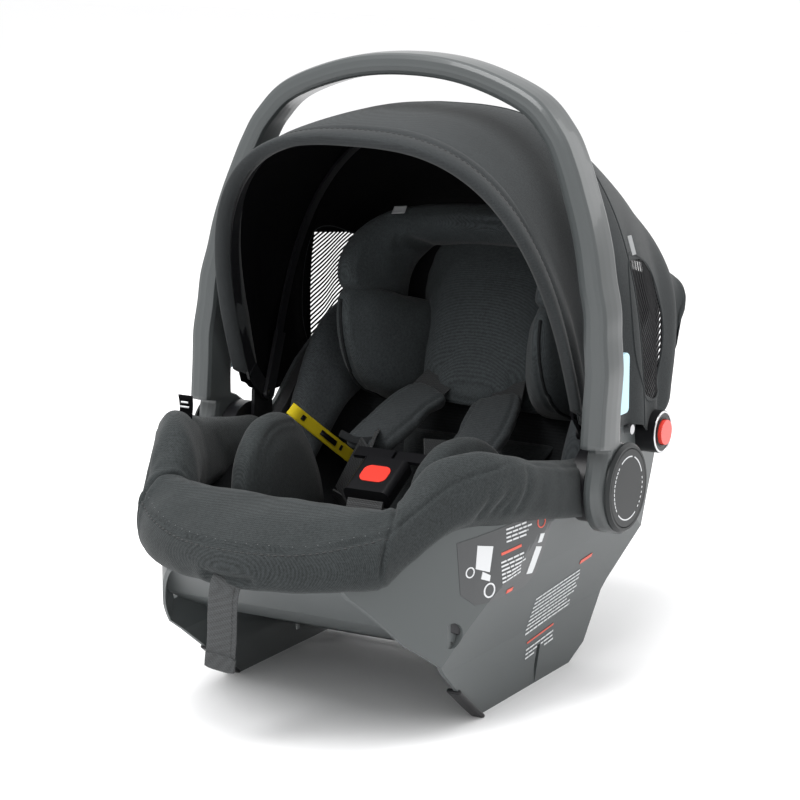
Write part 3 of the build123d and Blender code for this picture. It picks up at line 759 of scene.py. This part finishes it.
halo_pad = halo("headrest_halo", "charcoal_painted_lighter")
halo_front = []
for x, h, d, _ in HALO:
    halo_front.append((x - 9, h - 2 if h > 120 else h, d + 5))
halo_seam = [on_back(-x, d, h) for x, h, d in halo_front]
halo_seam += [on_back(x, d, h) for x, h, d in halo_front[-2::-1]]
groove(halo_pad, halo_seam, 0.0034, 0.0024, bulge=0.0006)
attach(halo_pad, "headrest")
for side, sign in SIDES:
    wing = lobe(f"head_wing_{side}", LOBE, 115, sign, "charcoal_painted_lighter")
    edge = [on_back(100 * sign, d + 2, h) for d, h in LOBE[2:10]]
    groove(wing, edge, 0.0032, 0.0022, bulge=0.0008)
    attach(wing, "headrest")
    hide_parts(f"headrest_wing_{side}")
    welt = [on_back(104 * sign, d, h) for d, h in LOBE_WELT]
    piping(f"wing_piping_{side}", welt, 0.0016, "dark", "headrest", obj=wing, lift=0.0002, count=90)

# ---------------------------------------------------------------- harness pads and the pull strap
OUT_OF_SEAT = np.array([0, -0.55, 0.83])
PAD_LINE = [(34, 102, 232), (38, 92, 230), (43, 76, 225), (48, 50, 214), (51, 26, 205), (52, 6, 198)]


def strip(points, half_w, half_t, power=4.0, count=28, turn=OUT_OF_SEAT):
    """Rings of a flat band along 3-D points; its face is turned towards turn."""
    rings = []
    for i, p in enumerate(points):
        a, b = points[max(i - 1, 0)], points[min(i + 1, len(points) - 1)]
        t = (b - a) / np.linalg.norm(b - a)
        side = np.cross(t, turn)
        side /= np.linalg.norm(side)
        n = np.cross(side, t)
        w = half_w[i] if hasattr(half_w, "__len__") else half_w
        u, v = superellipse(w, half_t, power, count)
        rings.append([p + side * x + n * y for x, y in zip(u, v)])
    return np.array(rings)


for side, sign in SIDES:
    line = spline(mm(PAD_LINE, sign), 30)
    widths = np.interp(np.linspace(0, 1, 30), (0, 0.12, 0.5, 1), (0.022, 0.0265, 0.0285, 0.027))
    chest = tube(f"chest_pad_{side}", strip(line, widths, 0.0088), "pad_light")
    puff(chest, size=0.004, cap=0.0035)
    for edge in (-1, 1):
        rim = [p[10 if edge > 0 else 4] for p in strip(line[2:-2], widths[2:-2] * 0.9, 0.008)]
        groove(chest, rim, 0.003, 0.0018, bulge=0.0006)
    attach(chest, "seat")
    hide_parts(f"shoulder_pad_{side}")
    mouth = spline(mm([(36, 14, 205), (60, 4, 203), (84, 14, 205)], sign), 12)
    band = strip(mouth, 0.0035, 0.002, turn=np.array([0, -0.9, 0.4]))
    hem = tube(f"chest_hem_{side}", band, "dark", "seat")

TAIL = [(0, -286, 157), (-0.5, -300, 157.4), (-1.5, -307, 152), (-4, -307, 142), (-8, -303, 125), (-12, -298, 105),
        (-16, -294, 88), (-19, -292, 72)]
TAIL_FACE = np.array([0.18, -0.96, 0.2])
line = spline(mm(TAIL), 70)
band = strip(line, 0.0135, 0.0009, power=6, count=36, turn=TAIL_FACE)
pull = tube("pull_strap", band, "tail", "seat")
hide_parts("adjuster_strap")
hem = tube("pull_strap_hem", strip(line[-9:], 0.0139, 0.0022, power=5, turn=TAIL_FACE), "tail", "seat")
for letter, sign in (("a", -1), ("b", 1)):
    edge = [p + np.array([sign * 0.0095, -0.0008, 0]) for p in line[10:-2:4]]
    stitches(f"pull_strap_edge_{letter}", pull, edge, "seat", pitch=0.0032, length=0.0022, radius=0.0003)

# ---------------------------------------------------------------- carry handle
HANDLE = [(203, 284), (203, 301), (200, 326), (198, 351), (192, 376), (187, 401), (180, 426),
          (171, 451), (161, 476), (147, 501), (119, 527), (60, 548), (0, 554)]
HUB_Z = 0.194
HUB_RADIUS = 0.0415               # of the round part at the handle's foot
GRIP = [(-1, -0.74), (-0.86, -0.93), (-0.56, -0.985), (-0.14, -1.0), (0.1, -0.97), (0.52, -0.93), (0.86, -0.86),
        (1, -0.68), (1.03, -0.2), (1.03, 0.3), (0.98, 0.74), (0.8, 0.94), (0.4, 1.0), (-0.4, 1.0), (-0.8, 0.95),
        (-1, 0.78), (-1.03, 0.3), (-1.03, -0.3)]


def handle_y(z):
    return -0.030 + 0.1 * (z - 0.200)


def section(thick, deep):
    """The handle's section, with one crease along its front face."""
    p = np.array(GRIP + GRIP[:1])
    outline = np.array([p[i] + (p[i + 1] - p[i]) * k / 6 for i in range(len(GRIP)) for k in range(6)])
    return outline[:, 0] * thick, outline[:, 1] * deep


centre = [(202.6, z) for z in (152.4, 153.6, 157, 163, 172, 183, 194, 205, 216, 228, 241, 255, 270)] + HANDLE
half = np.array(centre) * MM
line = np.vstack([half, (half * np.array([-1, 1]))[-2::-1]])
line3 = spline(line, 300)
rings = []
for i, (x, z) in enumerate(line3):
    a, b = line3[max(i - 1, 0)], line3[min(i + 1, len(line3) - 1)]
    t = (b - a) / np.linalg.norm(b - a)
    up = z - HUB_Z
    y = handle_y(z)
    deep = 0.0215 - 0.003 * max(0, min(1, (z - 0.40) / 0.15))
    if z < 0.262:
        share = max(0.0, min(1.0, (z - 0.205) / 0.057))
        share = share * share * (3 - 2 * share)
        hub = math.sqrt(max(HUB_RADIUS ** 2 - up * up, 1e-7)) if abs(up) < HUB_RADIUS else 0.0
        rear = (1 - share) * hub + share * (y + deep)
        front = (1 - share) * -hub + share * (y - deep)
        if up > 0:
            rear = max(rear, share * (y + deep))
            front = min(front, y - deep) if share > 0.5 else front
        y, deep = (rear + front) / 2, (rear - front) / 2
    thick = 0.0108 if z < 0.30 else 0.0108 - 0.0012 * min(1, (z - 0.30) / 0.2)
    u, v = section(thick, max(deep, 0.0008))
    n = np.array([t[1], -t[0]])
    rings.append(np.column_stack([x + n[0] * u, y + v, z + n[1] * u]))
handle = tube("carry_handle", np.array(rings), "handle")
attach(handle, "handle")
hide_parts("handle_bow")

# ---------------------------------------------------------------- canopy
# each arch: its foot (y, z), its top (y, z) and half its width, from the front rim to the rear hem
CANOPY = [((-14, 250), (-108, 499), 176), ((12, 238), (-78, 512), 178), ((60, 232), (0, 517), 179),
          ((112, 224), (80, 511), 178), ((150, 206), (150, 486), 172), ((190, 216), (216, 446), 165),
          ((222, 246), (268, 398), 158), ((251, 300), (306, 342), 148)]
ROWS, COLS = 141, 121             # points of the cloth from front to back and from side to side
MID_ROW = 62                      # row of the sheet that lies on the middle rib
CANOPY_CORE = np.array([0, 0.07, 0.27])
WINDOW = [(100, 376), (150, 370), (186, 350), (200, 312), (190, 272), (172, 248), (148, 240), (118, 252),
          (94, 300)]
WINDOW_SIDE = 0.11                # only cloth further out than this is cut


def arch(base, top, half_width):
    w = np.linspace(-math.pi / 2, math.pi / 2, 61)
    up = np.abs(np.cos(w)) ** (2 / 2.8)
    side = np.sign(np.sin(w)) * np.abs(np.sin(w)) ** (2 / 2.8) * half_width
    pts = np.column_stack([side, base[0] + (top[0] - base[0]) * up, base[1] + (top[1] - base[1]) * up])
    return spline(pts, COLS)


def grid_normals(grid):
    n = np.cross(np.gradient(grid, axis=0), np.gradient(grid, axis=1))
    n /= np.maximum(np.linalg.norm(n, axis=2, keepdims=True), 1e-12)
    flip = np.sign(np.einsum("ijk,ijk->ij", n, grid - CANOPY_CORE))
    return n * flip[:, :, None]


def fold_depth(s, down, seed):
    """How far the cloth sinks at share s between two ribs, and at down from the top (0) to the hem (1)."""
    sag = 0.0045 * math.sin(math.pi * s)
    gather = max(0.0, min(1.0, (down - 0.35) / 0.4)) * math.sin(math.pi * s) ** 0.6
    wave = math.sin(2 * math.pi * (2.6 * s + 0.35 * noise.noise(Vector((s * 3, down * 2.2, seed)))) + 0.6)
    return sag + gather * 0.0034 * (wave + 0.35 * noise.noise(Vector((s * 9, down * 5, seed + 4))))


shape = across([arch(*s) for s in CANOPY], ROWS) * MM
out = grid_normals(shape)
cloth = shape.copy()
for i in range(ROWS):
    s = i / MID_ROW if i <= MID_ROW else (i - MID_ROW) / (ROWS - 1 - MID_ROW)
    for j in range(COLS):
        cloth[i, j] -= out[i, j] * fold_depth(s, abs(j - 60) / 60, 1.0 if j < 60 else 6.0)


def cut_window(obj):
    """Cuts the mesh window out of both sides of a canopy sheet."""
    bm = bmesh.new()
    bm.from_mesh(obj.data)
    w = [Vector((0, y * MM, z * MM)) for y, z in WINDOW]
    mid = sum(w, Vector()) / len(w)
    planes = []
    for a, b in zip(w, w[1:] + w[:1]):
        n = (b - a).cross(Vector((1, 0, 0))).normalized()
        n = n if n.dot(mid - a) > 0 else -n
        planes.append((a, n))
        near = [f for f in bm.faces if abs(f.calc_center_median().x) > WINDOW_SIDE]
        geom = near + list({e for f in near for e in f.edges}) + list({v for f in near for v in f.verts})
        bmesh.ops.bisect_plane(bm, geom=geom, plane_co=a, plane_no=n, dist=1e-6)
    gone = [f for f in bm.faces if abs(f.calc_center_median().x) > WINDOW_SIDE
            and all((f.calc_center_median() - a).dot(n) > 0 for a, n in planes)]
    bmesh.ops.delete(bm, geom=gone, context="FACES")
    bm.to_mesh(obj.data)
    bm.free()


def cloth_sheet(name, grid, cut=False):
    """One panel of the canopy: canopy cloth outside, black lining inside."""
    rows, cols, _ = grid.shape
    obj = make(name, grid.reshape(-1, 3), grid_faces(rows, cols, False), "canopy")
    if cut:
        cut_window(obj)
    s = obj.modifiers.new("s", "SOLIDIFY")
    s.thickness, s.offset = 0.0014, 0
    apply_all(obj)
    fix_normals(obj)
    obj.data.materials.append(M["lining"])
    for p in obj.data.polygons:
        p.material_index = 0 if Vector(p.normal).dot(p.center - Vector(CANOPY_CORE)) > 0 else 1
    return obj


front_sheet = cloth_sheet("canopy_front", cloth[:MID_ROW + 1])
rear_sheet = cloth_sheet("canopy_rear", cloth[MID_ROW:], cut=True)
skin = BVHTree.FromPolygons([Vector(p) for p in cloth.reshape(-1, 3)], grid_faces(ROWS, COLS, False))


def on_canopy(y, z, sign, lift=0.0):
    """The canopy cloth's point at (y, z), in mm, on one side."""
    hit, n, _, _ = skin.ray_cast(Vector((0.3 * sign, y * MM, z * MM)), Vector((-sign, 0, 0)))
    if hit is None:
        return None
    n = n if n.x * sign > 0 else -n
    return np.array(hit + n * lift)


def inside_runs(origin, direction, polygon):
    """Where a line in (y, z) crosses a convex polygon."""
    crossings = []
    for a, b in zip(polygon, polygon[1:] + polygon[:1]):
        e = np.array(b, float) - a
        det = direction[0] * -e[1] + direction[1] * e[0]
        if abs(det) < 1e-9:
            continue
        r = np.array(a, float) - origin
        t = (r[0] * -e[1] + r[1] * e[0]) / det
        k = (direction[0] * r[1] - direction[1] * r[0]) / det
        if 0 <= k <= 1:
            crossings.append(t)
    return (min(crossings), max(crossings)) if len(crossings) > 1 else None


def window_mesh(side, sign):
    """Thin diagonal strips across the window."""
    verts, faces = [], []
    direction = np.array([0.82, 0.57])
    normal = np.array([-direction[1], direction[0]])
    for k in range(-34, 36):
        origin = np.array([150.0, 305.0]) + normal * k * 3.9
        run = inside_runs(origin, direction, WINDOW)
        if not run or run[1] - run[0] < 4:
            continue
        steps = max(2, int((run[1] - run[0]) / 7))
        row = []
        for t in np.linspace(run[0] - 2, run[1] + 2, steps + 1):
            for w, lift in ((-0.95, 0.0003), (0.95, 0.0003), (0.95, -0.0003), (-0.95, -0.0003)):
                y, z = origin + direction * t + normal * w
                row.append(on_canopy(y, z, sign, lift))
        if any(p is None for p in row):
            continue
        faces += ribbon_faces(len(verts), steps)
        verts += row
    obj = make(f"window_mesh_{side}", verts, faces, "mesh")
    fix_normals(obj)
    return obj


def hold(piece):
    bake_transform(piece)


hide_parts("canopy_front_panel")
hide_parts("canopy_rear_panel")
hold(front_sheet)
hold(rear_sheet)


def band_along(name, line, outward, rearward, profile, look):
    """A sewn band: its profile, as (towards the rear, outwards) pairs in mm, carried along a line."""
    rings = [[p + rear * a * MM + up * b * MM for a, b in profile] for p, up, rear in zip(line, outward, rearward)]
    return tube(name, np.array(rings), look)


rear_way = cloth[5] - cloth[0]
rear_way /= np.linalg.norm(rear_way, axis=1)[:, None]
RIM = [(-4.5, 0.4), (-4.2, 2.2), (-2.4, 3.8), (1.5, 4.6), (6, 4.4), (10, 3.7), (13.2, 2.9), (14.6, 1.7), (16, 2.6),
       (20, 2.7), (24, 2.0), (26, 0.9), (26, -1.4), (19, -2.2), (10, -5.4), (3, -7.6), (-2.5, -6.4), (-4.5, -2.4)]
rim_line = spline(cloth[0][2:-2], 240)
rim_out, rim_back = spline(out[0][2:-2], 240), spline(rear_way[2:-2], 240)
rim = band_along("canopy_rim", rim_line, rim_out, rim_back, RIM, "band")
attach(rim, "canopy_front")
seam_line = [rim_line[i] + rim_back[i] * 0.0120 + rim_out[i] * 0.0036 for i in range(0, 240, 6)]
stitches("rim_stitching", rim, seam_line, "canopy_front", pitch=0.0055, length=0.0036, radius=0.0004)
HEM = [(-2, 0.9), (2, 2.2), (9, 2.4), (13, 1.2), (13, -1.4), (6, -2.0), (0, -1.6)]
hem_line, hem_out = spline(cloth[-1], 160), spline(out[-1], 160)
hem_back = spline(cloth[-5] - cloth[-1], 160)
hem_back /= np.linalg.norm(hem_back, axis=1)[:, None]
hem = band_along("canopy_hem", hem_line, hem_out, hem_back, HEM, "canopy")
hold(hem)
mid_line = [cloth[MID_ROW][j] + out[MID_ROW][j] * 0.0006 for j in range(0, 121, 4)]
mid_welt = piping("canopy_mid_seam", mid_line, 0.0011, "canopy", None, count=200)
hold(mid_welt)
for side, sign in SIDES:
    strips = window_mesh(side, sign)
    hold(strips)
    frame_line = spline(WINDOW, 90, closed=True)
    ring = [on_canopy(y, z, sign, 0.0004) for y, z in frame_line]
    ring = np.array([p for p in ring if p is not None])
    surround = piping(f"window_frame_{side}", ring, 0.0013, "canopy", None, closed=True, count=120)
    hold(surround)
    corner, tag_low = on_canopy(118, 395, sign, 0.0010), on_canopy(118, 378, sign, 0.0010)
    wide, thick = np.array([0, 0.008, 0]), np.array([0.0006 * sign, 0, 0])
    face = [corner, corner + wide, tag_low + wide, tag_low]
    tag = make(f"canopy_tag_{side}", face + [p + thick for p in face],
               [(0, 1, 2, 3), (4, 7, 6, 5), (0, 4, 5, 1), (1, 5, 6, 2), (2, 6, 7, 3), (3, 7, 4, 0)],
               "print_dim", smooth=False)
    fix_normals(tag)
    hold(tag)

# ---------------------------------------------------------------- printed marks, plain bars and shapes only
shell_tree = BVHTree.FromPolygons([v.co for v in frame["nodes"]["shell"].data.vertices],
                                  [p.vertices for p in frame["nodes"]["shell"].data.polygons])


def on_shell(y, z, sign, lift):
    """The shell's outer side at (y, z), in mm."""
    hit, n, _, _ = shell_tree.ray_cast(Vector((0.3 * sign, y * MM, z * MM)), Vector((-sign, 0, 0)))
    return None if hit is None else hit + Vector((sign, 0, 0)) * lift


def printed(name, shapes, sign, look, lift, thick=0.0002, step=5.0):
    """Flat (y, z) quads, in mm, laid on the shell's side as one thin print."""
    verts, faces = [], []
    for quad in shapes:
        a, b, c, d = (np.array(p, float) for p in quad)
        n = max(1, int(np.linalg.norm(b - a) / step))
        m = max(1, int(np.linalg.norm(d - a) / step))
        grid = {}
        ok = True
        for i in range(n + 1):
            for j in range(m + 1):
                p = (a * (1 - i / n) + b * i / n) * (1 - j / m) + (d * (1 - i / n) + c * i / n) * j / m
                top, low = on_shell(p[0], p[1], sign, lift + thick), on_shell(p[0], p[1], sign, lift - thick)
                if top is None:
                    ok = False
                    break
                grid[i, j] = (top, low)
            if not ok:
                break
        if not ok:
            continue
        index = {}
        for key, (top, low) in grid.items():
            index[key] = (len(verts), len(verts) + 1)
            verts += [top, low]
        for i in range(n):
            for j in range(m):
                corners = [(i, j), (i + 1, j), (i + 1, j + 1), (i, j + 1)]
                faces.append(tuple(index[k][0] for k in corners))
                faces.append(tuple(index[k][1] for k in reversed(corners)))
        border = [((i, 0), (i + 1, 0)) for i in range(n)] + [((n, j), (n, j + 1)) for j in range(m)]
        border += [((i + 1, m), (i, m)) for i in reversed(range(n))]
        border += [((0, j + 1), (0, j)) for j in reversed(range(m))]
        for p, q in border:
            faces.append((index[p][0], index[p][1], index[q][1], index[q][0]))
    obj = make(name, verts, faces, look, "seat", smooth=False)
    fix_normals(obj)
    return obj


def bars(origin, direction, rows, pitch, length, width, seed=3, words=True):
    """Rows of short bars, in place of printed lines."""
    rng = np.random.default_rng(seed)
    d = np.array(direction, float)
    d /= np.linalg.norm(d)
    n = np.array([d[1], -d[0]])
    quads = []
    for r in range(rows):
        start = np.array(origin, float) + n * r * pitch
        end = length * (1 - (0.25 * rng.random() if words else 0))
        t = 0.0
        while t < end:
            word = (4 + 7 * rng.random()) if words else end
            stop = min(t + word, end)
            a = start + d * t
            b = start + d * stop
            quads.append((a, b, b + n * width, a + n * width))
            t = stop + 1.4
    return quads


def heading(origin, length, width, rise=0.10):
    """One unbroken bar."""
    return bars(origin, (1, rise), 1, 3, length, width=width, words=False)


def disc(y, z, outer, inner):
    """A ring as quads."""
    w = np.radians(np.linspace(0.0, 360.0, 29))
    return [[(y + math.cos(a) * r, z + math.sin(a) * r)
             for a, r in ((start, inner), (start, outer), (stop, outer), (stop, inner))]
            for start, stop in zip(w, w[1:])]


for side, sign in SIDES:
    film = [((-174, 130), (-60, 124), (-56, 186), (-178, 176)),
            ((-158, 118), (-76, 114), (-60, 124.2), (-174, 130.2))]
    printed(f"side_label_{side}", film, sign, "label", lift=0.0002)
    pale = [((-158, 150), (-142, 144), (-138, 166), (-156, 170)), ((-152, 140), (-142, 136), (-141, 141), (-150, 146)),
            ((-82, 128), (-70, 126), (-66, 150), (-78, 153)), ((-77, 156), (-69, 155), (-68, 163), (-75, 164))]
    pale += disc(-164, 148, 4.8, 3.7) + disc(-142, 128, 6.6, 5.2)
    pale += bars((-122, 178), (1, 0.05), 4, 3.6, 34, width=1.5, seed=5)
    pale += bars((-128, 150), (1, 0.10), 6, 3.6, 34, width=1.5, seed=6)
    printed(f"side_marks_{side}", pale, sign, "print", lift=0.0006)
    red = heading((-128, 158), 26, 2.4) + disc(-74, 175, 6.0, 4.9) + heading((-112, 121), 11, 3.6, rise=0.0)
    printed(f"side_marks_red_{side}", red, sign, "red_print", lift=0.0006)
    rows = bars((-36, 92), (1, 0.10), 9, 4.4, 88, width=1.7, seed=8)
    rows += bars((-26, 40), (1, 0.10), 3, 4.2, 66, width=1.5, seed=9)
    printed(f"rear_marks_{side}", rows, sign, "print", lift=0.0004)
    head = heading((38, 110), 22, 3.6) + heading((-26, 47), 50, 1.6)
    printed(f"rear_marks_red_{side}", head, sign, "red_print", lift=0.0004)


# ---------------------------------------------------------------- hub rings, pod rings, labels and tags
RAISED, SUNK = 0.0003, -0.0002     # faces of a printed ring, above and below the plastic


def arc_ring(name, x, radius, width, spans, look, sign):
    """Raised arcs on a hub's flat face, x from the middle of the seat."""
    verts, faces = [], []
    for a0, a1 in spans:
        count = max(2, int((a1 - a0) / 4))
        faces += ribbon_faces(len(verts), count)
        for i in range(count + 1):
            w = math.radians(a0 + (a1 - a0) * i / count)
            for r, lift in ((radius, RAISED), (radius + width, RAISED), (radius + width, SUNK), (radius, SUNK)):
                verts.append((sign * (x + lift), math.cos(w) * r, HUB_Z + math.sin(w) * r))
    obj = make(name, verts, faces, look, "handle", smooth=False)
    fix_normals(obj)
    return obj


for side, sign in SIDES:
    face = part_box(f"hub_cover_{side}")
    face_x = max(abs(face[0].x), abs(face[1].x)) - 0.0001
    spans = [(20, 66), (76, 120), (226, 300)]
    spans += [(a, a + 5.5) for a in range(130, 218, 8)] + [(a, a + 4) for a in range(312, 372, 9)]
    arc_ring(f"hub_ring_{side}", face_x, 0.0275, 0.0011, spans, "print", sign)
    arc_ring(f"hub_groove_{side}", face_x - 0.0002, 0.0345, 0.0007, [(0, 360)], "black", sign)
    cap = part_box(f"pod_cap_{side}")
    pod_y, pod_z = (cap[0].y + cap[1].y) / 2, (cap[0].z + cap[1].z) / 2
    pod_x = max(abs(c.x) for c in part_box(f"pod_housing_{side}"))
    for name, radius, thick, look in (("ring", 0.0186, 0.0011, "silver"), ("seat", 0.0130, 0.0009, "black")):
        circle = [(sign * pod_x, pod_y + math.cos(w) * radius, pod_z + math.sin(w) * radius)
                  for w in np.linspace(0, 2 * math.pi, 48, endpoint=False)]
        piping(f"pod_{name}_{side}", circle, thick, look, f"pod_{side}", closed=True, count=96, sides=10)


def patch(name, corners, look, body, thick=0.0006, bend=0.0, cells=6):
    """A thin sewn-on tag, bowed a little, from its four corners."""
    a, b, c, d = (np.array(p, float) for p in corners)
    n = np.cross(b - a, d - a)
    n /= np.linalg.norm(n)
    shares = np.linspace(0, 1, cells)
    grid = np.array([[(a * (1 - s) + b * s) * (1 - t) + (d * (1 - s) + c * s) * t + n * bend * math.sin(math.pi * t)
                      for s in shares] for t in shares])
    obj = make(name, grid.reshape(-1, 3), grid_faces(cells, cells, False), look)
    m = obj.modifiers.new("m", "SOLIDIFY")
    m.thickness = thick
    apply_all(obj)
    fix_normals(obj)
    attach(obj, body)
    return obj


tag = list(mm([(-156, -146, 262), (-141, -146, 262), (-142, -146, 244), (-155, -146, 244)]))
tag_top = [p + np.array([0, 0, 0.003]) for p in tag[:2]]
patch("arm_tag", [tag_top[0], tag_top[1], tag[2], tag[3]], "lining", "seat", thick=0.0009, bend=0.0012)
for k, (x0, x1) in enumerate(((-152.5, -145), (-153.5, -144))):
    z = 259.5 - k * 4.2
    corners = mm([(x0, -147.6, z), (x1, -147.6, z), (x1, -147.6, z - 1.7), (x0, -147.6, z - 1.7)])
    patch(f"arm_tag_bar_{k}", corners, "print", "seat", thick=0.0003, cells=2)
corners = [on_back(*p) for p in [(-84, -100, 166), (-72, -97, 168), (-72, -100, 160), (-84, -103, 158)]]
patch("headrest_tag", corners, "print_dim", "headrest", bend=0.0006)

yellow = mm([(-134, -2, 222), (-132, 8, 230), (-118, 106, 160), (-118, 96, 150)])
patch("inner_label", yellow, "yellow", "seat", bend=0.001, cells=8)
lift = np.array([0.0009, -0.0004, 0.0004])
low, high = yellow[0] * 0.7 + yellow[1] * 0.3, yellow[3] * 0.7 + yellow[2] * 0.3
low2, high2 = yellow[0] * 0.3 + yellow[1] * 0.7, yellow[3] * 0.3 + yellow[2] * 0.7
for k, (t0, t1) in enumerate(((0.16, 0.21), (0.44, 0.66), (0.72, 0.75))):
    bar = [low + (high - low) * t0 + lift, low2 + (high2 - low2) * t0 + lift,
           low2 + (high2 - low2) * t1 + lift, low + (high - low) * t1 + lift]
    patch(f"inner_label_bar_{k}", bar, "black", "seat", thick=0.0004, cells=3)
for side, sign in SIDES:
    run = spline(mm([(127, -106, 1.4), (127, -118, 10.2), (127, -134, 22.8), (127, -150, 35.6)], sign), 24)
    bar = strip(run, 0.0068, 0.0022, power=3.5, turn=np.array([0, -0.62, -0.78]))
    glide = tube(f"front_glide_{side}", bar, "black", "seat")
    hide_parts(f"foot_glide_{side}")
